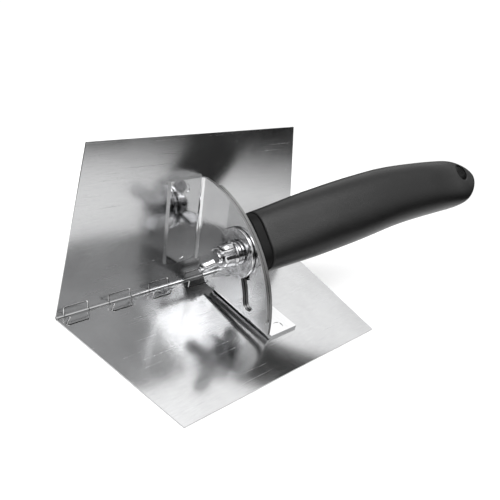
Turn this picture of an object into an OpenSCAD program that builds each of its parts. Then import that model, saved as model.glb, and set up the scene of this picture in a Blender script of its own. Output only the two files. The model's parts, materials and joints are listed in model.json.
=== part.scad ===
// Inside corner trowel with an adjustable corner angle.
// Two thin blades are laced together along the corner by seven straps. Each blade carries a
// quarter-round plate with an arc slot; the plates lie face to face, and the stud of the handle
// passes through both slots and is clamped by a wing nut.
//
// Corner frame used by every module: X along the corner from the near end, -Y along the lower
// blade, +Z up. place() moves it so that the origin is the centre of the lower working face.
// In the upper blade's frame Z runs up the blade and +Y points out of its working face.

/* [Blades] */
// length of a blade along the corner
corner_len = 150; // [80:1:260]
// width of a blade, from the corner line to its free edge
blade_w = 80; // [40:1:140]
// how far each end of the free edge is set in from the corner edge
end_taper = 15; // [0:0.5:30]
// sheet thickness of the blades
sheet_t = 0.6; // [0.4:0.05:1.2]
// angle between the working faces as stored
open_deg = 94.5; // [88:0.5:121]

/* [Laced corner] */
// number of straps along the corner
strap_n = 7; // [3:1:11]
// distance from one strap to the next
strap_pitch = 22; // [14:0.1:30]
// distance from the blade's near end to the first window
strap_start = 3.6; // [1:0.1:6]
// length of a window along the corner
win_len = 12; // [6:0.1:16]
// top of a window above the hinge axis
win_top = 4.7; // [3:0.1:8]
// height of the hinge axis above the working faces
axis_h = 0.9; // [0.8:0.05:1.6]
// radius of the round edge bar the straps turn on
bar_r = 0.45; // [0.3:0.05:0.8]
// radial running clearance of a strap on the bar
bar_gap = 0.05; // [0.02:0.01:0.1]
// clearance of a strap's leaf in its window
win_gap = 0.35; // [0.2:0.05:0.8]
// reach of a strap over the lower blade
strap_reach = 6.6; // [4:0.1:10]

/* [Slotted plates] */
// thickness of the two quarter-round plates
plate_t = 1.5; // [1:0.1:3]
// radius of the plates about the corner
plate_r = 58; // [40:0.5:75]
// front face of the upper blade's plate, from the near end
plate_x = 75; // [40:0.5:120]
// gap between the two plates
plate_gap = 0.3; // [0.2:0.05:1]
// length of the flange on the blade, along the corner
flange_len = 19; // [10:0.5:30]
// inner end of the flange, from the corner
flange_in = 13.5; // [8:0.5:25]
// inside radius of the plate's bend
bend_r = 2; // [0.5:0.1:3]
// free edge of a plate, ahead of the hinge axis
plate_edge = 2.7; // [1:0.1:6]
// rounding where a plate's free edge meets its rim
plate_fillet = 4.5; // [1:0.1:8]
// radius of the arc slot's centre line
slot_r = 44.5; // [30:0.1:60]
// width of the arc slot
slot_w = 6.8; // [5:0.1:12]
// first end of the slot's centre line, from the plate's own blade
slot_from = 34.5; // [10:0.5:45]
// last end of the slot's centre line, from the plate's own blade
slot_to = 79.5; // [60:0.5:85]
// radius of a spot-weld dimple
weld_r = 2.4; // [1:0.1:4]

/* [Clamp] */
// place of the stud as stored, from the lower blade
stud_deg = 48.5; // [38:0.5:56]
// radius of the stud
stud_r = 3; // [2:0.1:5]
// outside diameter of the front washer
washer_d = 25; // [16:0.5:32]
// outside diameter of the rear washer, let into the collar
rear_d = 18; // [12:0.5:20]
// thickness of the large washers
washer_t = 1.5; // [1:0.1:3]
// outside diameter of the spring washer
spring_d = 11.8; // [9:0.1:16]
// thickness of the spring washer
spring_t = 1.6; // [1:0.1:3]
// radius of the wing nut's base
nut_r = 6.5; // [5:0.1:10]
// height of the wing nut's barrel
barrel_h = 7.5; // [5:0.1:12]
// height of the wing tips above the nut's base
wing_h = 13.5; // [10:0.1:22]
// span over both wings
wing_span = 28; // [20:0.5:40]
// thickness of a wing
wing_t = 3.6; // [1.5:0.1:5]
// turn of the wing nut as stored
wing_turn = -5; // [-90:1:90]
// stud end beyond the nut's barrel
stud_out = 1.8; // [0:0.1:8]

/* [Handle] */
// tilt of the handle away from the corner line
tilt = 31; // [15:0.5:36]
// length of the handle along its own axis
handle_len = 126; // [115:1:150]
// width of the grip at its widest
grip_w = 31.6; // [26:0.2:38]
// thickness of the front collar behind the rear washer
collar_t = 2; // [1:0.1:4]
// radius of the hard core
core_r = 7; // [6.5:0.1:8]
// radius of the hanging hole
hang_r = 4.1; // [2.5:0.1:5]
// centre of the hanging hole before the handle's end
hang_back = 8.5; // [7:0.5:14]

/* [Hidden] */
lean = open_deg - 90;
steel = [0.78, 0.79, 0.8];
zinc = [0.7, 0.71, 0.72];
black = [0.09, 0.09, 0.1];
edge_cut = 1.15;                       // set-back of the lower blade's edge from the hinge axis
bead_r = axis_h - 0.05;
strap_slant = 3.8;                     // lean of a strap's left side towards the near end
strap_in = 2.4;                        // start of the slanted cut inside the window
cut_w = 0.75;                          // width of the open cut round a strap
top_gap = 0.5;                         // gap over a strap's leaf
inset = 0.12;                          // set-back of a strap's arm and leaf from its ring's ends
front_x = plate_x;
back_x = plate_x + plate_t + plate_gap;
clear = 0.3;                           // air between bodies that move apart
washer_x = front_x - clear - washer_t;
spring_x = washer_x - spring_t;
nut_x = spring_x - clear;
rear_x = back_x + plate_t + clear;
collar_x = rear_x + washer_t + 0.1;
end_len = 20.5;                        // length of the rounded end of the grip
end_curve = 0.0154;                    // curve of the outer face as it slopes off to the end
end_swing = 5;                         // sideways swing of the grip's end
jam_t = 2.6;
jam_flat = 10;
shank_x = 5.2;                         // from the collar to the corner of the stud's bend
stud_bend = 7.5;                       // radius of that bend
swell = 0.15;                          // thickening of the stud where it is bent
tang_len = 66;
grip_roll = 1;                         // turn of the grip about the stud
grip_shift = 1.5;                      // sideways set-off of the grip from the stud
hang_side = 0.2;                       // sideways place of the hanging hole
anchor_t = 5;
eps = 0.01;

module place() translate([-corner_len / 2, blade_w / 2, 0]) children();
module lower() place() translate([0, 0, axis_h]) children();
module upper() lower() rotate([-lean, 0, 0]) children();
module on_stud() lower() rotate([90 - stud_deg, 0, 0]) translate([0, 0, slot_r]) children();
module in_handle() on_stud() translate([collar_x, 0, 0]) rotate([grip_roll, 0, 0])
    rotate([0, -tilt, 0]) children();
module along_x(r, len, from = 0) translate([from, 0, 0]) rotate([0, 90, 0])
    cylinder(r = r, h = len, $fn = 96);
function strap_x(i) = strap_start + i * strap_pitch;

// blade outline: x along the corner, y away from it
module blade_shape(from) polygon([
    [end_taper * from / blade_w, from],
    [corner_len - end_taper * from / blade_w, from],
    [corner_len - end_taper, blade_w - axis_h],
    [end_taper, blade_w - axis_h]]);

// outline with two round top corners: x along the corner, y up from `low` to `top`
function corner_arc(cx, cy, r, from) = [for (k = [0 : 6]) let (a = from + 15 * k)
    [cx + r * cos(a), cy + r * sin(a)]];
module round_top(len, low, top, r) polygon(concat([[0, low], [len, low]],
    corner_arc(len - r, top - r, r, 0), corner_arc(r, top - r, r, 90)));

// window of the upper blade, cut from well below its edge
module window_cut(x) translate([x, axis_h + 0.5, 0]) rotate([90, 0, 0])
    linear_extrude(sheet_t + 1) round_top(win_len, -2, win_top, 1.2);

module blade_upper() color(steel) upper() difference() {
    union() {
        difference() {
            translate([0, axis_h, 0]) rotate([90, 0, 0]) linear_extrude(sheet_t) blade_shape(0);
            for (i = [0 : strap_n - 1]) window_cut(strap_x(i));
        }
        along_x(bead_r, strap_start);
        for (i = [0 : strap_n - 2])
            along_x(bead_r, strap_pitch - win_len, strap_x(i) + win_len);
        along_x(bead_r, corner_len - strap_x(strap_n - 1) - win_len,
            strap_x(strap_n - 1) + win_len);
        along_x(bar_r, corner_len);
    }
}

// outline of a strap's arm on the lower blade; grow widens it by the open cut
module arm_shape(x, grow) polygon([
    [x + strap_in + cut_w - grow, 0],
    [x + strap_in + cut_w - grow, -0.9],
    [x + strap_in - strap_slant + cut_w - grow, -5.1 - grow * 0.3],
    [x + strap_in - strap_slant + 0.9 + cut_w - grow, -strap_reach + cut_w - grow],
    [x + win_len - 2.6, -strap_reach + cut_w - grow],
    [x + win_len - win_gap - inset, -0.9],
    [x + win_len - win_gap - inset, 0]]);

module blade_lower() color(steel) place() difference() {
    translate([0, 0, 0]) linear_extrude(sheet_t) mirror([0, 1]) blade_shape(edge_cut);
    for (i = [0 : strap_n - 1])
        translate([0, 0, -1]) linear_extrude(sheet_t + 2) arm_shape(strap_x(i), cut_w);
}

// one strap: a flat arm let into the lower blade, a ring round the edge bar and a leaf that
// stands in the window of the upper blade
module strap(i) {
    x = strap_x(i);
    len = win_len - 2 * win_gap;
    top = win_top - top_gap;
    difference() {
        union() {
            along_x(bead_r, len, x + win_gap);
            translate([0, 0, -axis_h]) linear_extrude(sheet_t) arm_shape(x, 0);
            rotate([-lean, 0, 0]) translate([x + win_gap + inset, axis_h, 0]) rotate([90, 0, 0])
                linear_extrude(sheet_t) round_top(len - 2 * inset, 0, top, 0.9);
        }
        along_x(bar_r + bar_gap, len + 2, x + win_gap - 1);
    }
}

module hinge_straps() color(steel) lower() for (i = [0 : strap_n - 1]) strap(i);

// plate outline: x up its own blade from the corner, y square to that blade
module plate_shape() difference() {
    union() {
        difference() {
            intersection() {
                circle(r = plate_r, $fn = 240);
                translate([plate_edge, bend_v()]) square([plate_r, plate_r]);
            }
            polygon([[-5, -5], [flange_in, -5], [flange_in, bend_v()], [10.3, 5.9],
                [plate_edge, 11], [-5, 11]]);
            polygon([[0, fil_v()], [fil_u(), fil_v()], [fil_u() * 1.2, fil_v() * 1.2],
                [0, fil_v() * 1.2]]);
        }
        translate([fil_u(), fil_v()]) circle(r = plate_fillet, $fn = 64);
    }
    slot_shape();
}
function bend_v() = sheet_t - axis_h + plate_t + bend_r;
function fil_u() = plate_edge + plate_fillet;
function fil_v() = sqrt(pow(plate_r - plate_fillet, 2) - pow(fil_u(), 2));

module slot_shape() {
    far = plate_r * 2;
    intersection() {
        difference() {
            circle(r = slot_r + slot_w / 2, $fn = 240);
            circle(r = slot_r - slot_w / 2, $fn = 240);
        }
        polygon([[0, 0], far * [cos(slot_from), sin(slot_from)],
            far * [cos(slot_from / 2 + slot_to / 2), sin(slot_from / 2 + slot_to / 2)],
            far * [cos(slot_to), sin(slot_to)]]);
    }
    for (a = [slot_from, slot_to])
        translate(slot_r * [cos(a), sin(a)]) circle(r = slot_w / 2, $fn = 64);
}

// flange and bend in section: x along the corner from the plate's face, y off the blade
module fold_shape() {
    v0 = sheet_t - axis_h;
    translate([bend_r, v0]) square([flange_len - bend_r, plate_t]);
    translate([bend_r, bend_v()]) intersection() {
        difference() {
            circle(r = bend_r + plate_t, $fn = 96);
            circle(r = bend_r, $fn = 96);
        }
        translate([-10, -10]) square([10, 10]);
    }
}

// the two dimples left by the spot welds, in the flange's frame
module welds() for (u = [flange_in + 4, plate_r - 4.5])
    translate([flange_len / 2 + 1, sheet_t - axis_h + plate_t - 0.25, u])
        rotate([-90, 0, 0]) cylinder(r = weld_r, h = 2, $fn = 48);

module fold() difference() {
    translate([0, 0, flange_in]) linear_extrude(plate_r - flange_in) fold_shape();
    welds();
}

// upper plate: its flange points to the near end, the lower plate's to the far end
module plate_upper() color(steel) upper() {
    translate([front_x, 0, 0]) rotate([90, 0, 90]) linear_extrude(plate_t)
        rotate(90) plate_shape();
    translate([front_x, 0, 0]) rotate([0, 0, 180]) fold();
}

module plate_lower() color(steel) lower() {
    translate([back_x, 0, 0]) rotate([90, 0, 90]) linear_extrude(plate_t)
        mirror([1, 0]) plate_shape();
    translate([back_x + plate_t, 0, 0]) rotate([90, 0, 0]) fold();
}

module washer(x, d, t) difference() {
    along_x(d / 2, t, x);
    along_x(stud_r + 0.2, t + 2, x - 1);
}

module front_washer() color(zinc) on_stud() washer(washer_x, washer_d, washer_t);
module rear_washer() color(zinc) on_stud() washer(rear_x, rear_d, washer_t);

module spring_washer() color(zinc) on_stud() difference() {
    washer(spring_x, spring_d, spring_t);
    translate([spring_x - 1, 0, stud_r - 0.5]) rotate([0, 20, 0]) cube([spring_t + 2, 0.5, 8]);
}

// wing nut: a stepped barrel with two rounded wings, x running down from its base
module wing_outline() difference() {
    union() {
        polygon([[0, 0], [3.2, 0], [wing_h - 4.6, wing_span / 2 - 6.2],
            [wing_h - 8, wing_span / 2 - 1.4], [1.2, nut_r - 0.6]]);
        translate([wing_h - 4.2, wing_span / 2 - 4.2]) circle(r = 4.2, $fn = 64);
    }
    translate([-1, -1]) square([wing_h, 1]);
}

module wing_nut() color(zinc) on_stud() translate([nut_x, 0, 0])
    rotate([wing_turn, 0, 0]) difference() {
        union() {
            rotate([0, -90, 0]) cylinder(r1 = nut_r, r2 = nut_r - 0.9, h = barrel_h, $fn = 96);
            for (s = [0, 180]) rotate([s, 0, 0]) translate([0, wing_t / 2, 0])
                rotate([90, 0, 0]) linear_extrude(wing_t) mirror([1, 0]) wing_outline();
        }
        along_x(stud_r + 0.05, wing_h + 4, -wing_h - 2);
    }

// stud: straight through the plates, then bent by the tilt and running up the grip's core
module stud() color(zinc) {
    on_stud() along_x(stud_r, collar_x + shank_x - bend_run() - stud_from() + 0.5, stud_from());
    on_stud() translate([collar_x + shank_x - bend_run(), 0, stud_bend]) rotate([90, 0, 0])
        rotate([0, 0, -90]) rotate_extrude(angle = tilt, $fn = 96)
            translate([stud_bend, 0]) circle(r = stud_r + swell, $fn = 96);
    in_tang() along_x(stud_r, tang_len - bend_run() + 0.5, bend_run() - 0.5);
}
function stud_from() = nut_x - barrel_h - stud_out;
function bend_run() = stud_bend * tan(tilt / 2);
// frame of the stud's buried part, x = 0 at the corner of its bend
module in_tang() on_stud() translate([collar_x + shank_x, 0, 0]) rotate([0, -tilt, 0]) children();

module hex(x, flat, t, bore) difference() {
    translate([x, 0, 0]) rotate([0, 90, 0]) cylinder(r = flat / sqrt(3), h = t, $fn = 6);
    along_x(bore, t + 2, x - 1);
}
module jam_nut() color(zinc) on_stud() hex(collar_x + 0.1, jam_flat, jam_t, stud_r + 0.01);
module anchor_nut() color(zinc) in_tang()
    hex(tang_len - anchor_t - 1, jam_flat, anchor_t, stud_r + 0.01);

// grip: rounded sections strung along the handle's own axis
function mix(a, b, k) = a + (b - a) * k;
function ease(k) = k * k * (3 - 2 * k);
function span(s, a, b) = min(1, max(0, (s - a) / (b - a)));
function end_round(s) = s < handle_len - end_len ? 1
    : sqrt(max(0, 1 - pow((s - handle_len + end_len) / end_len, 2.6)));
function half_w(s) = (mix(29.6, grip_w, ease(span(s, 6, 36))) - 9 * ease(span(s, 45, 135)))
    / 2 * mix(0.12, 1, end_round(s));
function side(s) = grip_shift - end_swing * ease(span(s, 70, handle_len - 4));
// outer and inner faces of the grip, from its own axis; the outer one slopes off to the end
function slope_off(s) = let (k = handle_len - 8)
    end_curve * (pow(max(0, min(s, k) - k + 24), 2) + 48 * max(0, s - k));
function face_out(s) = mix(-1, mix(12.6, 14.6, ease(span(s, 2, 48)))
    - 0.8 * ease(span(s, 60, 100)) - slope_off(s), mix(0.1, 1, end_round(s)));
function face_in(s) = (mix(14, 12.8, ease(span(s, 4, 50))) - 2.6 * ease(span(s, 70, 112)))
    * mix(0.35, 1, end_round(s));
function half_t(s) = (face_out(s) + face_in(s)) / 2;
function mid_z(s) = (face_out(s) - face_in(s)) / 2;
// the section is squarer at the front
function round_power(s) = 2 / mix(3.8, 2.9, ease(span(s, 0, 45)));
function ring_at(s, w, t, n) = [for (k = [0 : n - 1]) let (a = 360 * k / n, p = round_power(s))
    [s, side(s) + w * sign(cos(a)) * pow(abs(cos(a)), p),
        mid_z(s) + t * sign(sin(a)) * pow(abs(sin(a)), p)]];

module loft(rings, n) {
    m = len(rings);
    polyhedron(points = [for (r = rings) each r], faces = concat(
        [[for (k = [0 : n - 1]) k]],
        [for (j = [0 : m - 2], k = [0 : n - 1]) each [
            [j * n + k, (j + 1) * n + k, (j + 1) * n + (k + 1) % n],
            [j * n + k, (j + 1) * n + (k + 1) % n, j * n + (k + 1) % n]]],
        [[for (k = [n - 1 : -1 : 0]) (m - 1) * n + k]]), convexity = 4);
}

sides = 40;
stations = [for (s = [-14 : 7.4 : handle_len - 24]) s,
    for (back = [20.5, 17, 13.5, 10.5, 8, 6, 4.2, 2.7, 1.5, 0.6, 0]) handle_len - back];

// sections ahead of the axis' start keep the first one's size
module grip_body(shrink) loft([for (s = stations) let (t = max(0, s))
    [for (p = ring_at(t, half_w(t) - shrink, half_t(t) - shrink, sides)) [s, p[1], p[2]]]], sides);

// half space behind the plane x = at, square to the stud
module behind(at) on_stud() translate([collar_x + at, -60, -40]) cube([180, 120, 160]);

module hang_cut() translate([handle_len - hang_back, hang_side, -30])
    cylinder(r = hang_r, h = 60, $fn = 96);

module core_shape() in_tang() along_x(core_r, tang_len + 16, -12);

module handle_skin() color(black) difference() {
    intersection() {
        in_handle() grip_body(0);
        behind(collar_t);
    }
    core_shape();
    in_handle() hang_cut();
}

module handle_core() color(black) difference() {
    intersection() {
        core_shape();
        behind(collar_t);
    }
    stud();
    anchor_nut_space();
    jam_nut_space();
}
module anchor_nut_space() in_tang() translate([tang_len - anchor_t - 1, 0, 0])
    rotate([0, 90, 0]) cylinder(r = jam_flat / sqrt(3), h = anchor_t, $fn = 6);
module jam_nut_space() on_stud() translate([collar_x - 1, 0, 0])
    rotate([0, 90, 0]) cylinder(r = jam_flat / sqrt(3) + 0.1, h = jam_t + 1.2, $fn = 6);

module collar() color(black) difference() {
    intersection() {
        in_handle() grip_body(0.3);
        behind(rear_x - collar_x);
    }
    behind(collar_t);
    on_stud() along_x(rear_d / 2 + 0.2, collar_x - rear_x + 1, rear_x - 1);
    jam_nut_space();
}

blade_lower();
hinge_straps();
plate_lower();
blade_upper();
plate_upper();
stud();
anchor_nut();
jam_nut();
rear_washer();
front_washer();
spring_washer();
wing_nut();
collar();
handle_core();
handle_skin();
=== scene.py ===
"""Looks of an adjustable inside corner trowel: polished blades laced along the corner, two
slotted quadrant plates, a wing-nut clamp and a soft-grip handle."""

import json
import math

import bmesh
import bpy
from mathutils import Euler, Matrix, Vector

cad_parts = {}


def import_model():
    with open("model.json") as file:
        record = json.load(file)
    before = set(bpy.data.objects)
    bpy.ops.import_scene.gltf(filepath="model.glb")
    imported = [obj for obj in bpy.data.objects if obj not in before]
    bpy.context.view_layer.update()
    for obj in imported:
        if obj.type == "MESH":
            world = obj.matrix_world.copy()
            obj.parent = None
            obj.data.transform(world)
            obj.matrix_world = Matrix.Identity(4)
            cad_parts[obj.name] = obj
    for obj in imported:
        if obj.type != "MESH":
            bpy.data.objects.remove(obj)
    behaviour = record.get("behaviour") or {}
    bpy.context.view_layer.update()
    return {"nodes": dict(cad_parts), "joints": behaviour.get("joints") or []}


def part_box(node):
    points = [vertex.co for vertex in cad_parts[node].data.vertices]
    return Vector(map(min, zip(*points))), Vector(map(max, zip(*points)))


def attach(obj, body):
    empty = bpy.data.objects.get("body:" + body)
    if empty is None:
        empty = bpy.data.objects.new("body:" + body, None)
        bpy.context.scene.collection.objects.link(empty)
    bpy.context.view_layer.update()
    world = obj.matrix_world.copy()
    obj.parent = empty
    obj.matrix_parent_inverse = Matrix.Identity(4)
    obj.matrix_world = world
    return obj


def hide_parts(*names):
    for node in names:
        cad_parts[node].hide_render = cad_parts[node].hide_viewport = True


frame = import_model()

MM = 0.001

# Sizes of the clamp and the handle, in mm and degrees, as the CAD has them.
STUD_DEG = 48.5  # place of the stud, from the lower blade
TILT_DEG = 31  # tilt of the handle away from the corner line
GRIP_ROLL_DEG = 1  # turn of the grip about the stud
GRIP_SHIFT = 1.5  # sideways set-off of the grip from the stud
STUD_R = 3.0
WASHER_BORE = STUD_R + 0.2
THREAD_PITCH = 1.0
THREAD_DEPTH = 0.55
THREAD_FLAT = 0.12  # flat share of the thread's crests and roots
HANDLE_LEN = 126
COLLAR_T = 2.0
COLLAR_GAP = 0.1  # from the rear washer to the start of the handle's own axis
FRONT_W = 29.6  # width of the grip at its front
GRIP_W = 31.6  # width of the grip where it is widest
NARROWING = 9  # width that it loses towards its end
FRONT_OUT, GRIP_OUT, OUT_DROP = 12.6, 14.6, 0.8  # outer face: front, full, lost to the end
FRONT_IN, GRIP_IN, IN_DROP = 14, 12.8, 2.6  # inner face: front, full, lost to the end
FRONT_POWER, GRIP_POWER = 3.8, 2.9  # exponents of the section: square front, rounder grip
END_LEN = 20.5  # length of the grip's rounded end
END_POWER = 2.6  # exponent of that rounding
END_CURVE = 0.0154  # curve of the outer face as it slopes off to the end
SLOPE_LEN = 24  # length over which the outer face curves off
KNEE_BACK = 8  # the slope runs straight over this last length
END_SWING = 5  # sideways swing of the grip's end
HANG_R = 4.1
HANG_BACK = 8.5  # from the hanging hole's centre to the grip's end
HANG_SIDE = 0.2


# ---------------------------------------------------------------- number helpers


def mix(a, b, k):
    return a + (b - a) * k


def ease(k):
    return k * k * (3 - 2 * k)


def part_way(s, a, b):
    return min(1.0, max(0.0, (s - a) / (b - a)))


def full_turn(count):
    """Angles of `count` even steps round a circle."""
    return [2 * math.pi * k / count for k in range(count)]


def quarter_turn(steps):
    """Angles from 0 to 90 degrees in even steps, both ends included."""
    return [math.radians(90 * k / steps) for k in range(steps + 1)]


# ---------------------------------------------------------------- node helpers


def new_material(name):
    """A material with its node tree, principled shader and object coordinates."""
    material = bpy.data.materials.new(name)
    material.use_nodes = True
    tree = material.node_tree
    shader = tree.nodes["Principled BSDF"]
    coords = tree.nodes.new("ShaderNodeTexCoord").outputs["Object"]
    return material, tree, shader, coords


def noise(tree, coords, scale, detail=4.0, stretch=(1, 1, 1), rough=0.55):
    """Noise with `scale` features per metre, stretched along an axis."""
    mapping = tree.nodes.new("ShaderNodeMapping")
    mapping.inputs["Scale"].default_value = stretch
    texture = tree.nodes.new("ShaderNodeTexNoise")
    texture.inputs["Scale"].default_value = scale
    texture.inputs["Detail"].default_value = detail
    texture.inputs["Roughness"].default_value = rough
    tree.links.new(coords, mapping.inputs["Vector"])
    tree.links.new(mapping.outputs["Vector"], texture.inputs["Vector"])
    return texture.outputs["Fac"]


def remap(tree, value, low_in, high_in, low_out, high_out):
    """The value's range low_in..high_in spread over low_out..high_out."""
    node = tree.nodes.new("ShaderNodeMapRange")
    for socket, number in zip(node.inputs[1:5], (low_in, high_in, low_out, high_out)):
        socket.default_value = number
    tree.links.new(value, node.inputs["Value"])
    return node.outputs["Result"]


def combine(tree, operation, a, b):
    """A math node of two sockets, or of a socket and a number."""
    node = tree.nodes.new("ShaderNodeMath")
    node.operation = operation
    for socket, value in zip(node.inputs, (a, b)):
        if isinstance(value, (int, float)):
            socket.default_value = value
        else:
            tree.links.new(value, socket)
    return node.outputs["Value"]


def ramp(tree, value, *stops):
    """A colour ramp through (position, grey or colour) stops."""
    node = tree.nodes.new("ShaderNodeValToRGB")
    elements = node.color_ramp.elements
    while len(elements) < len(stops):
        elements.new(0.5)
    for element, (position, colour) in zip(elements, stops):
        element.position = position
        rgb = colour if isinstance(colour, tuple) else (colour,) * 3
        element.color = (*rgb, 1)
    tree.links.new(value, node.inputs["Fac"])
    return node.outputs["Color"]


def add_bump(tree, shader, height, distance):
    """Bump of `distance` metres for a height of 1."""
    node = tree.nodes.new("ShaderNodeBump")
    node.inputs["Strength"].default_value = 1.0
    node.inputs["Distance"].default_value = distance
    tree.links.new(height, node.inputs["Height"])
    tree.links.new(node.outputs["Normal"], shader.inputs["Normal"])


# ---------------------------------------------------------------- materials


def polished_steel(name, tone, rough_low, rough_high, grain_along, sag):
    """Mirror-bright sheet, a little uneven: rolling grain, hand smudges, hairline scratches."""
    darkest, grain_share, grain_height = 0.80, 0.4, 0.0000012
    speck_rough, scratch_rough = 0.06, 0.10
    scratch_along = tuple(0.02 if g < 1 else 1 for g in grain_along)
    material, tree, shader, coords = new_material(name)
    shader.inputs["Metallic"].default_value = 1.0
    smudge = noise(tree, coords, 30, 5, (1, 0.6, 0.8))
    speck = noise(tree, coords, 900, 3)
    grain = noise(tree, coords, 5200, 2, grain_along, 0.7)
    scratch = noise(tree, coords, 1500, 1, scratch_along)
    blend = combine(tree, "ADD", combine(tree, "MULTIPLY", grain, grain_share),
                    combine(tree, "MULTIPLY", smudge, 1 - grain_share))
    tree.links.new(
        ramp(tree, blend, (0.36, tuple(c * darkest for c in tone)), (0.62, tone)),
        shader.inputs["Base Color"],
    )
    wear = remap(tree, smudge, 0.35, 0.7, rough_low, rough_high)
    fine = combine(tree, "ADD", wear, remap(tree, speck, 0.55, 0.8, 0.0, speck_rough))
    marks = combine(tree, "ADD", fine, remap(tree, scratch, 0.68, 0.74, 0.0, scratch_rough))
    tree.links.new(marks, shader.inputs["Roughness"])
    wave = combine(tree, "MULTIPLY", noise(tree, coords, 17, 1), sag)
    height = combine(tree, "ADD", combine(tree, "MULTIPLY", grain, grain_height), wave)
    add_bump(tree, shader, height, 1.0)
    return material


def cut_face_and_gap_shade(name, dark, light):
    """Cut faces of punched sheet, streaked through the thickness: dull rims for the plates, and
    for the straps' narrow gaps a near-black tone that is painted shade.
    """
    burr = 0.00002
    material, tree, shader, coords = new_material(name)
    shader.inputs["Metallic"].default_value = 1.0
    streak = noise(tree, coords, 2600, 3, (1, 1, 0.2))
    tree.links.new(
        ramp(tree, streak, (0.3, dark), (0.7, light)), shader.inputs["Base Color"]
    )
    tree.links.new(remap(tree, streak, 0.3, 0.7, 0.35, 0.55), shader.inputs["Roughness"])
    add_bump(tree, shader, streak, burr)
    return material


def zinc_plate(name):
    """Bright zinc plate on cast and turned hardware: small dimples and dull patches."""
    dull, bright, dimple = (0.30, 0.30, 0.305), (0.62, 0.62, 0.63), 0.000014
    material, tree, shader, coords = new_material(name)
    shader.inputs["Metallic"].default_value = 1.0
    patch = noise(tree, coords, 420, 4)
    pits = noise(tree, coords, 2600, 3)
    tree.links.new(
        ramp(tree, patch, (0.3, dull), (0.7, bright)), shader.inputs["Base Color"]
    )
    tree.links.new(remap(tree, patch, 0.3, 0.7, 0.08, 0.18), shader.inputs["Roughness"])
    add_bump(tree, shader, combine(tree, "ADD", patch, pits), dimple)
    return material


def moulded_plastic(name):
    """Matt black moulding with a fine spark-eroded grain."""
    grain_depth = 0.00003
    material, tree, shader, coords = new_material(name)
    grain = noise(tree, coords, 2400, 3)
    patch = noise(tree, coords, 60, 3)
    tree.links.new(
        ramp(tree, patch, (0.3, 0.002), (0.7, 0.004)), shader.inputs["Base Color"]
    )
    tree.links.new(remap(tree, grain, 0.3, 0.7, 0.42, 0.56), shader.inputs["Roughness"])
    shader.inputs["Specular IOR Level"].default_value = 0.1
    add_bump(tree, shader, grain, grain_depth)
    return material


def soft_rubber(name):
    """Black soft grip: close pebble grain, faint dust and a dull sheen."""
    pebbles_per_metre, pebble_depth = 2600, 0.00005
    material, tree, shader, coords = new_material(name)
    pebble = tree.nodes.new("ShaderNodeTexVoronoi")
    pebble.inputs["Scale"].default_value = pebbles_per_metre
    tree.links.new(coords, pebble.inputs["Vector"])
    grain = noise(tree, coords, 3600, 4)
    patch = noise(tree, coords, 45, 5)
    dust = combine(tree, "MULTIPLY", remap(tree, grain, 0.5, 0.8, 0, 1), patch)
    tree.links.new(
        ramp(tree, dust, (0.0, 0.0028), (0.25, 0.005), (0.6, 0.016)),
        shader.inputs["Base Color"],
    )
    tree.links.new(remap(tree, patch, 0.3, 0.7, 0.34, 0.46), shader.inputs["Roughness"])
    shader.inputs["Specular IOR Level"].default_value = 0.3
    height = combine(tree, "ADD", pebble.outputs["Distance"], grain)
    add_bump(tree, shader, height, pebble_depth)
    return material


BLADE = polished_steel(
    "blade_steel", (0.47, 0.472, 0.476), rough_low=0.14, rough_high=0.23,
    grain_along=(0.03, 1, 1), sag=0.0011,
)
PLATE = polished_steel(
    "plate_steel", (0.60, 0.602, 0.606), rough_low=0.05, rough_high=0.11,
    grain_along=(1, 0.03, 1), sag=0.0004,
)
# near-black cut faces round the straps: painted shade that makes the narrow gaps fall dark
GAP_SHADE_EDGE = cut_face_and_gap_shade("cut_face_and_gap_shade", dark=0.012, light=0.04)
RIM = cut_face_and_gap_shade("plate_rim", dark=0.14, light=0.26)
ZINC = zinc_plate("zinc_plate")
PLASTIC = moulded_plastic("black_plastic")
RUBBER = soft_rubber("black_rubber")


# ---------------------------------------------------------------- mesh helpers


def new_object(name, bm):
    """An object in the scene that holds the bmesh, which is freed."""
    mesh = bpy.data.meshes.new(name)
    bm.to_mesh(mesh)
    bm.free()
    made = bpy.data.objects.new(name, mesh)
    bpy.context.scene.collection.objects.link(made)
    return made


def discard(obj):
    mesh = obj.data
    bpy.data.objects.remove(obj)
    bpy.data.meshes.remove(mesh)


def applied(obj):
    """The object's mesh with its modifiers applied, as a bmesh; the object is removed."""
    graph = bpy.context.evaluated_depsgraph_get()
    bm = bmesh.new()
    bm.from_mesh(obj.evaluated_get(graph).to_mesh())
    discard(obj)
    return bm


def shade(bm, degrees):
    """Smooth faces with sharp edges where they meet at more than this angle."""
    limit = math.radians(degrees)
    for face in bm.faces:
        face.smooth = True
    for edge in bm.edges:
        edge.smooth = len(edge.link_faces) == 2 and edge.calc_face_angle(0) < limit


def add_piece(name, bm, material, body, nodes, sharp=38):
    """A piece from the bmesh that rides on the body and stands for the CAD nodes."""
    bmesh.ops.recalc_face_normals(bm, faces=bm.faces)
    shade(bm, sharp)
    piece = new_object(name, bm)
    piece.data.materials.append(material)
    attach(piece, body)
    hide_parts(*nodes)
    weighted = piece.modifiers.new("weighted", "WEIGHTED_NORMAL")
    weighted.keep_sharp = True
    return piece


def mark_faces(piece, material, wanted):
    """Gives the second material to the faces that `wanted(normal, centre)` picks."""
    piece.data.materials.append(material)
    for face in piece.data.polygons:
        if wanted(face.normal, face.center):
            face.material_index = 1


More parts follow.
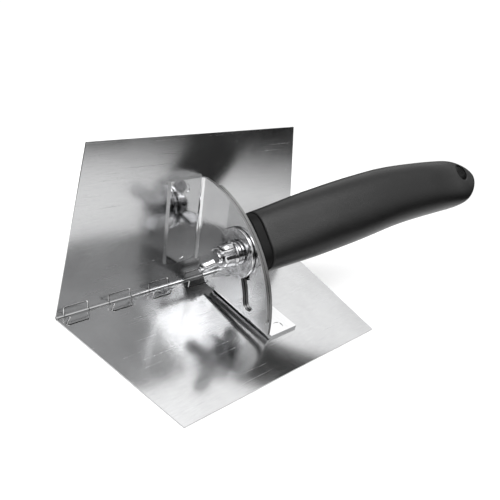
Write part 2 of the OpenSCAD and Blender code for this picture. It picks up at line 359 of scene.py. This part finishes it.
def softened(node, width, segments=2):
    """The CAD node's own mesh with its sharp edges broken by a small bevel."""
    weld, flat_deg, sharp_deg = 2e-6, 0.5, 40
    bm = bmesh.new()
    bm.from_mesh(frame["nodes"][node].data)
    bmesh.ops.remove_doubles(bm, verts=bm.verts, dist=weld)
    bmesh.ops.dissolve_limit(
        bm, angle_limit=math.radians(flat_deg), verts=bm.verts, edges=bm.edges
    )
    limit = math.radians(sharp_deg)
    sharp = [e for e in bm.edges
             if len(e.link_faces) == 2 and e.calc_face_angle(0) > limit]
    bmesh.ops.bevel(
        bm, geom=sharp, offset=width, segments=segments, profile=0.6,
        affect="EDGES", clamp_overlap=True,
    )
    return bm


def loft(bm, rings, capped=True):
    """Joins rings of points, all in mm, and caps both ends, or joins the last to the first."""
    made = [[bm.verts.new(Vector(p) * MM) for p in ring] for ring in rings]
    count = len(made[0])
    for one, two in zip(made, made[1:] if capped else made[1:] + made[:1]):
        for k in range(count):
            j = (k + 1) % count
            bm.faces.new((one[k], one[j], two[j], two[k]))
    if capped:
        bm.faces.new(made[0][::-1])
        bm.faces.new(made[-1])


def lathe(bm, profile, segments):
    """Turns a closed profile of (x, r) in mm about the X axis."""
    rings = [
        [(x, r * math.cos(a), r * math.sin(a)) for a in full_turn(segments)]
        for x, r in profile
    ]
    loft(bm, rings, capped=False)


def rounded(x0, x1, r0, r1, edge, steps=4):
    """Section of a ring from x0 to x1 and r0 to r1 with its four corners rounded."""
    points = []
    corners = ((x1 - edge, r1 - edge, 0), (x0 + edge, r1 - edge, 90),
               (x0 + edge, r0 + edge, 180), (x1 - edge, r0 + edge, 270))
    for cx, cr, start in corners:
        for k in range(steps + 1):
            a = math.radians(start + 90 * k / steps)
            points.append((cx + edge * math.cos(a), cr + edge * math.sin(a)))
    return points


# ---------------------------------------------------------------- places


def ends(node):
    """Where a node on the stud starts and ends along X, in mm."""
    low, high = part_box(node)
    return low.x / MM, high.x / MM


def outer_radius(node):
    """Radius of a round node on the stud, in mm."""
    low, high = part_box(node)
    return (high.y - low.y) / 2 / MM


turn = next(j for j in frame["joints"] if j["name"] == "wing_nut_turn")
stud_y, stud_z = turn["pos_m"][1], turn["pos_m"][2]
roll = Matrix.Rotation(math.radians(90 - STUD_DEG), 4, "X")
on_stud = Matrix.Translation((0, stud_y, stud_z)) @ roll

stud_start = ends("stud")[0]
nut_end = ends("wing_nut")[1]
collar_start = ends("collar")[0]
handle_start = ends("rear_washer")[1] + COLLAR_GAP
tilted = (Matrix.Rotation(math.radians(GRIP_ROLL_DEG), 4, "X")
          @ Matrix.Rotation(math.radians(-TILT_DEG), 4, "Y"))
in_handle = on_stud @ Matrix.Translation((handle_start * MM, 0, 0)) @ tilted


# ---------------------------------------------------------------- blades, straps, plates

LOWEST_STRAP, HIGHEST_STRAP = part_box("hinge_straps")

# Lengths in metres that tell the cut faces of the sheet from its surfaces.
SLIT_REACH = 0.0008  # the lower blade's openings reach this far past the straps
WINDOW_REACH = 0.0012  # the upper blade's windows reach this far above the straps
LYING_H = 0.0018  # height up to which a face belongs to lying sheet
CURL_W = 0.0025  # the straps curl up over this width next to the corner
PLATES_HALF = 0.0018  # half the thickness of both plates, and the x of their middle

# Shares of a unit normal.
SHEET_NORMAL = 0.7  # from here on along the sheet's own normal, a face is its surface
END_NORMAL = 0.8  # from here on along the corner line, a face is a strap's side
RIM_NORMAL = 0.25  # up to here along the corner line, a face is a plate's rim


def is_gap_shaded_cut(normal, centre):
    """Punched faces of the straps and of the openings round them, which get the painted gap
    shade.
    """
    if (centre.y < LOWEST_STRAP.y - SLIT_REACH
            or centre.z > HIGHEST_STRAP.z + WINDOW_REACH):
        return False
    if centre.z > LYING_H:
        return abs(normal.y) < SHEET_NORMAL
    if centre.y < HIGHEST_STRAP.y - CURL_W:
        return abs(normal.z) < SHEET_NORMAL
    return abs(normal.x) > END_NORMAL


def is_rim(normal, centre):
    """Cut faces round a quadrant plate and round its slot."""
    return abs(normal.x) < RIM_NORMAL and abs(centre.x - PLATES_HALF) < PLATES_HALF


def sheet_pieces():
    """The blades, straps and plates: their CAD meshes with broken edges, dull plate rims and
    painted shade on the cut faces round the straps.
    """
    blade = (BLADE, "blade_steel", GAP_SHADE_EDGE, is_gap_shaded_cut)
    plate = (PLATE, "plate_steel", RIM, is_rim)
    rows = (
        ("lower_blade_sheet", "blade_lower", "lower", 0.00005, blade),
        ("upper_blade_sheet", "blade_upper", "upper", 0.00005, blade),
        ("corner_straps", "hinge_straps", "lower", 0.00002, blade),
        ("lower_quadrant_plate", "plate_lower", "lower", 0.00013, plate),
        ("upper_quadrant_plate", "plate_upper", "upper", 0.00013, plate),
    )
    for name, node, body, bevel, (material, slot, cut, is_cut) in rows:
        piece = add_piece(name, softened(node, bevel), material, body, [node], 32)
        # blades and straps: near-black painted shade on the gap walls; plates: their dull rims
        mark_faces(piece, cut, is_cut)


# ---------------------------------------------------------------- clamp hardware


def thread_radius(x, angle):
    """Radius of a right-hand thread at x mm and an angle about the stud."""
    phase = (x / THREAD_PITCH - angle / (2 * math.pi)) % 1.0
    rise = part_way(abs(2 * phase - 1), THREAD_FLAT, 1 - THREAD_FLAT)
    return STUD_R - THREAD_DEPTH * (1 - rise)


def stud_piece():
    """The stud's clamped stretch with a real helical thread and a chamfered tip."""
    tip_r, tip_len, per_turn, around = 0.76 * STUD_R, 0.9, 10, 48
    length = collar_start - stud_start
    steps = int(length / THREAD_PITCH * per_turn)
    rings = []
    for i in range(steps + 1):
        x = stud_start + length * i / steps
        widest = mix(tip_r, STUD_R, part_way(x, stud_start, stud_start + tip_len))
        ring = []
        for a in full_turn(around):
            r = min(thread_radius(x, a), widest)
            ring.append((x, r * math.cos(a), r * math.sin(a)))
        rings.append(ring)
    bm = bmesh.new()
    loft(bm, rings)
    bm.transform(on_stud)
    add_piece("threaded_stud", bm, ZINC, "handle", ["stud"], 60)


def washer_piece(name, node, body):
    """A turned washer with rolled edges."""
    edge, around = 0.35, 128
    x0, x1 = ends(node)
    bm = bmesh.new()
    lathe(bm, rounded(x0, x1, WASHER_BORE, outer_radius(node), edge), around)
    bm.transform(on_stud)
    add_piece(name, bm, ZINC, body, [node])


def spring_washer_piece():
    """A split ring whose two ends stand slightly apart along the stud."""
    gap_deg, gap_at_deg, lift, edge, steps = 7, 100, 0.22, 0.28, 80
    x0, x1 = ends("spring_washer")
    section = rounded(x0 + lift, x1, WASHER_BORE, outer_radius("spring_washer"), edge)
    rings = []
    for i in range(steps + 1):
        a = math.radians(gap_deg / 2 + (360 - gap_deg) * i / steps + gap_at_deg)
        rise = lift * i / steps
        rings.append([(x - rise, r * math.cos(a), r * math.sin(a)) for x, r in section])
    bm = bmesh.new()
    loft(bm, rings)
    bm.transform(on_stud)
    add_piece("spring_washer_ring", bm, ZINC, "washers", ["spring_washer"])


def wing_outline(span, height, tip_r):
    """Outline of one wing: (distance from the nut's base, distance from its axis)."""
    from_deg, turn_deg, steps = -50, 195, 18
    cx, cy = height - tip_r, span / 2 - tip_r
    arc = [
        (cx + tip_r * math.cos(a), cy + tip_r * math.sin(a))
        for a in (math.radians(from_deg + turn_deg * k / steps) for k in range(steps + 1))
    ]
    return [(0.6, 0.0), (5.4, 0.0), (5.9, 3.6)] + arc + [(1.4, 5.7), (0.6, 4.4)]


def wing_nut_piece():
    """A cast wing nut: flanged barrel and two swept wings melted into one skin."""
    turn_deg, base_r, barrel, wing_half = -5, 6.5, 7.5, 1.75
    edge_size, flat_share = 0.8, 0.55  # a wing's edges are smaller and its middle is flat
    voxel, smoothing, rounds, axis_r = 0.28, 0.6, 10, 0.01
    bm = bmesh.new()
    outer = [(0, base_r - 0.35), (0.35, base_r), (1.3, base_r), (1.9, base_r - 0.55),
             (barrel - 0.7, base_r - 1.0), (barrel, base_r - 1.7)]
    profile = [(0, axis_r)] + outer + [(barrel, axis_r)]
    lathe(bm, [(-x, r) for x, r in profile], 64)
    outline = wing_outline(span=28, height=13.5, tip_r=4.1)
    cx = sum(x for x, y in outline) / len(outline)
    cy = sum(y for x, y in outline) / len(outline)
    layers = ((-1, edge_size), (-flat_share, 1), (flat_share, 1), (1, edge_size))
    for side in (1, -1):
        loft(bm, [
            [(-(cx + (x - cx) * size), wing_half * place, side * (cy + (y - cy) * size))
             for x, y in outline]
            for place, size in layers
        ])
    bmesh.ops.recalc_face_normals(bm, faces=bm.faces)
    rough = new_object("wing_nut_rough", bm)
    remesh = rough.modifiers.new("remesh", "REMESH")
    remesh.mode = "VOXEL"
    remesh.voxel_size = voxel * MM
    smooth = rough.modifiers.new("smooth", "SMOOTH")
    smooth.factor = smoothing
    smooth.iterations = rounds
    skin = applied(rough)
    place = on_stud @ Matrix.Translation((nut_end * MM, 0, 0))
    skin.transform(place @ Matrix.Rotation(math.radians(turn_deg), 4, "X"))
    add_piece("cast_wing_nut", skin, ZINC, "wing_nut", ["wing_nut"], 80)


def hex_nut_piece(name, node, body):
    """A hexagon nut with chamfered corners, from its CAD mesh."""
    chamfer = 0.0004
    add_piece(name, softened(node, chamfer, 3), ZINC, body, [node])


# ---------------------------------------------------------------- handle


def end_round(s):
    """Size of the section at s mm along the handle: 1, then rounded off to 0."""
    past = (s - HANDLE_LEN + END_LEN) / END_LEN
    return 1.0 if past < 0 else math.sqrt(max(0.0, 1 - past ** END_POWER))


def half_width(s):
    """Half the grip's width: it swells behind its front and narrows from its middle on."""
    full = mix(FRONT_W, GRIP_W, ease(part_way(s, 6, 36)))
    return (full - NARROWING * ease(part_way(s, 45, 135))) / 2 * mix(0.12, 1, end_round(s))


def middle(s):
    """Sideways place of the grip's middle."""
    return GRIP_SHIFT - END_SWING * ease(part_way(s, 70, HANDLE_LEN - 4))


def slope_off(s):
    """How far the outer face has dropped on its way to the end."""
    knee = HANDLE_LEN - KNEE_BACK
    curved = max(0.0, min(s, knee) - knee + SLOPE_LEN) ** 2
    return END_CURVE * (curved + 2 * SLOPE_LEN * max(0.0, s - knee))


def face_out(s):
    """Height of the outer face over the handle's axis."""
    full = mix(FRONT_OUT, GRIP_OUT, ease(part_way(s, 2, 48)))
    face = full - OUT_DROP * ease(part_way(s, 60, 100)) - slope_off(s)
    return mix(-1, face, mix(0.1, 1, end_round(s)))


def face_in(s):
    """Depth of the inner face under the handle's axis."""
    full = mix(FRONT_IN, GRIP_IN, ease(part_way(s, 4, 50)))
    return (full - IN_DROP * ease(part_way(s, 70, 112))) * mix(0.35, 1, end_round(s))


def roundness(s):
    """Exponent of the grip's superellipse section: squarer at the front."""
    return mix(FRONT_POWER, GRIP_POWER, ease(part_way(s, 0, 45)))


def skin_point(s, angle, shrink=0.0):
    """A point of the handle's skin, `shrink` mm under it, in its own frame."""
    t = max(0.0, s)
    w, out, inn = half_width(t) - shrink, face_out(t) - shrink, face_in(t) - shrink
    c, v = math.cos(angle), math.sin(angle)
    power = 2 / roundness(t)
    return (
        s,
        middle(t) + w * math.copysign(abs(c) ** power, c),
        (out - inn) / 2 + (out + inn) / 2 * math.copysign(abs(v) ** power, v),
    )


def skin_height(s, y, side):
    """Height of the outer (side 1) or inner (side -1) face of the grip at s and y mm."""
    w, out, inn = half_width(s), face_out(s), face_in(s)
    across = min(0.999, abs(y - middle(s)) / w)
    power = roundness(s)
    return (out - inn) / 2 + side * (out + inn) / 2 * (1 - across ** power) ** (1 / power)


def square_station(x, angle, shrink=0.0):
    """Where along the handle its skin crosses the plane x mm behind the collar's face."""
    tilt = math.radians(TILT_DEG)
    s = x / math.cos(tilt)
    for _ in range(4):  # the skin is nearly straight there, so a few rounds settle it
        s = x / math.cos(tilt) + skin_point(s, angle, shrink)[2] * math.tan(tilt)
    return s


ANGLES = full_turn(112)


def square_ring(x, shrink):
    """The skin's section in the plane x mm behind the collar's face."""
    return [skin_point(square_station(x, a, shrink), a, shrink) for a in ANGLES]


def stud_ring(x, radius):
    """A circle about the stud, x mm behind the start of the handle's axis, in its frame."""
    back = tilted.inverted()
    return [back @ Vector((x, radius * math.cos(a), radius * math.sin(a))) for a in ANGLES]


def rolled_edge(x, edge, under):
    """Rings of a quarter-round front edge that starts at x and ends `under` mm deep."""
    return [
        square_ring(x + edge * (1 - math.cos(a)), under + edge * (1 - math.sin(a)))
        for a in quarter_turn(8)
    ]


def collar_piece():
    """The hard front collar: square face with the rear washer let in, rounded front edge."""
    edge, under, bore, fit = 0.45, 0.3, 5.9, 0.2
    rear_edge = ((0.35, 0), (0.2, 0.1), (0, 0.4))  # (before the rear face, further under)
    front = collar_start - handle_start
    recess = outer_radius("rear_washer") + fit
    rings = rolled_edge(front, edge, under)
    rings += [square_ring(COLLAR_T - before, under + more) for before, more in rear_edge]
    rings += [stud_ring(COLLAR_T, bore), stud_ring(0, bore), stud_ring(0, recess),
              stud_ring(front, recess)]
    bm = bmesh.new()
    loft(bm, rings, capped=False)
    bm.transform(in_handle)
    add_piece("front_collar", bm, PLASTIC, "handle", ["collar"], 50)


def hole_cutter():
    """A post through the grip whose flared ends follow its faces, for a rounded lip."""
    lip, clear, above, beyond = 1.0, 0.25, 0.6, 7.0
    centre = HANDLE_LEN - HANG_BACK
    flare = [(lip * (1 - math.cos(a)), lip * (1 - math.sin(a))) for a in quarter_turn(6)]
    flare += [(lip + clear, -above), (lip + clear, -beyond)]
    rings = []
    for side, rows in ((-1, flare[::-1]), (1, flare)):
        for grow, depth in rows:
            ring = []
            for a in full_turn(96):
                x = centre + (HANG_R + grow) * math.cos(a)
                y = HANG_SIDE + (HANG_R + grow) * math.sin(a)
                ring.append((x, y, skin_height(min(x, HANDLE_LEN), y, side) - side * depth))
            rings.append(ring)
    bm = bmesh.new()
    loft(bm, rings)
    bmesh.ops.recalc_face_normals(bm, faces=bm.faces)
    return new_object("hole_cutter", bm)


def in_shaded_hole(_, centre):
    """Faces of the hanging hole's wall, which get the darker, duller plastic as painted shade.
    """
    margin = 0.25
    local = in_handle.inverted() @ centre / MM
    off_axis = math.hypot(local.x - HANDLE_LEN + HANG_BACK, local.y - HANG_SIDE)
    return off_axis < HANG_R + margin


def grip_piece():
    """The soft grip: one smooth loft with a rolled front edge and a hanging hole, with painted
    shade on the hole's wall.
    """
    edge, seam, blend_end = 0.6, 0.02, 44.0
    blend_steps, body_steps, end_steps = 32, 56, 36
    front, straight_end = COLLAR_T + seam, HANDLE_LEN - END_LEN
    rings = rolled_edge(front, edge, 0)
    for k in range(1, blend_steps + 1):
        rings.append([
            skin_point(mix(square_station(front + edge, a), blend_end, k / blend_steps), a)
            for a in ANGLES
        ])
    stations = [mix(blend_end, straight_end, k / body_steps) for k in range(1, body_steps)]
    stations += [straight_end + END_LEN * math.sin(a) for a in quarter_turn(end_steps)]
    rings += [[skin_point(s, a) for a in ANGLES] for s in stations]
    bm = bmesh.new()
    loft(bm, rings)
    bmesh.ops.recalc_face_normals(bm, faces=bm.faces)
    rough = new_object("grip_rough", bm)
    cutter = hole_cutter()
    boolean = rough.modifiers.new("hole", "BOOLEAN")
    boolean.operation = "DIFFERENCE"
    boolean.solver = "EXACT"
    boolean.object = cutter
    bpy.context.view_layer.update()
    skin = applied(rough)
    discard(cutter)
    skin.transform(in_handle)
    grip = add_piece("soft_grip", skin, RUBBER, "handle",
                     ["handle_skin", "handle_core"], 46)
    # the hole's wall gets the near-black plastic: painted shade inside the hole
    mark_faces(grip, PLASTIC, in_shaded_hole)


sheet_pieces()
stud_piece()
washer_piece("front_washer_disc", "front_washer", "washers")
washer_piece("rear_washer_disc", "rear_washer", "handle")
spring_washer_piece()
wing_nut_piece()
hex_nut_piece("jam_nut_hex", "jam_nut", "handle")
hex_nut_piece("anchor_nut_hex", "anchor_nut", "handle")
collar_piece()
grip_piece()


# ---------------------------------------------------------------- stage, light, camera


def floor():
    """A pale sheet under the tool that fades out into the white surroundings."""
    half, drop, fade_from, fade_to = 0.35, 0.0002, 0.16, 0.33
    material, tree, shader, coords = new_material("pale_floor")
    shader.inputs["Base Color"].default_value = (0.86, 0.86, 0.86, 1)
    reach = tree.nodes.new("ShaderNodeVectorMath")
    reach.operation = "LENGTH"
    tree.links.new(coords, reach.inputs[0])
    tree.links.new(
        remap(tree, reach.outputs["Value"], fade_from, fade_to, 1.0, 0.0),
        shader.inputs["Alpha"],
    )
    shader.inputs["Roughness"].default_value = 0.85
    shader.inputs["Specular IOR Level"].default_value = 0.1
    bm = bmesh.new()
    bmesh.ops.create_grid(bm, x_segments=2, y_segments=2, size=half)
    plane = new_object("floor", bm)
    plane.data.materials.append(material)
    plane.location.z = -drop


def area_light(name, place, size, power):
    """A rectangular light that faces the tool."""
    target = Vector((0, 0, 0.03))
    data = bpy.data.lights.new(name, "AREA")
    data.shape = "RECTANGLE"
    data.size, data.size_y = size
    data.energy = power
    lamp = bpy.data.objects.new(name, data)
    lamp.location = place
    lamp.rotation_euler = (target - Vector(place)).to_track_quat("-Z", "Y").to_euler()
    bpy.context.scene.collection.objects.link(lamp)


def world():
    """Bright overhead studio, dim towards the horizon; plain white behind the tool."""
    studio_strength, white_strength, uneven = 1.3, 1.05, 0.12
    surroundings = bpy.data.worlds.new("studio")
    bpy.context.scene.world = surroundings
    surroundings.use_nodes = True
    tree = surroundings.node_tree
    graded = tree.nodes["Background"]
    coords = tree.nodes.new("ShaderNodeTexCoord").outputs["Generated"]
    split = tree.nodes.new("ShaderNodeSeparateXYZ")
    tree.links.new(coords, split.inputs["Vector"])
    cloudy = remap(tree, noise(tree, coords, 1.6, 2), 0.3, 0.7, -uneven, uneven)
    height = combine(tree, "ADD", split.outputs["Z"], cloudy)
    tree.links.new(
        ramp(tree, height, (0.0, 0.02), (0.24, 0.07), (0.40, 0.55), (0.56, 1.0)),
        graded.inputs["Color"],
    )
    graded.inputs["Strength"].default_value = studio_strength
    white = tree.nodes.new("ShaderNodeBackground")
    white.inputs["Color"].default_value = (1, 1, 1, 1)
    white.inputs["Strength"].default_value = white_strength
    seen = tree.nodes.new("ShaderNodeLightPath").outputs["Is Camera Ray"]
    blend = tree.nodes.new("ShaderNodeMixShader")
    tree.links.new(seen, blend.inputs["Fac"])
    tree.links.new(graded.outputs["Background"], blend.inputs[1])
    tree.links.new(white.outputs["Background"], blend.inputs[2])
    tree.links.new(blend.outputs["Shader"], tree.nodes["World Output"].inputs["Surface"])


def camera():
    """Camera from above the near, open side, as a hand-held picture of the tool shows it."""
    place = (-0.14865, -0.13419, 0.15398)
    turns_deg = (59.965, -10.836, -41.066)  # about X, then Y, then Z
    data = bpy.data.cameras.new("camera")
    data.lens, data.sensor_width = 36.35, 36
    data.clip_start, data.clip_end = 0.01, 100
    cam = bpy.data.objects.new("camera", data)
    aim = Euler([math.radians(d) for d in turns_deg]).to_matrix().to_4x4()
    cam.matrix_world = Matrix.Translation(place) @ aim
    bpy.context.scene.collection.objects.link(cam)
    bpy.context.scene.camera = cam


floor()
world()
area_light("key", (-0.5, -0.3, 0.9), size=(0.6, 0.6), power=9)
area_light("back", (0.6, 0.8, 0.9), size=(1.8, 1.2), power=5)
camera()
bpy.context.scene.view_settings.view_transform = "Standard"
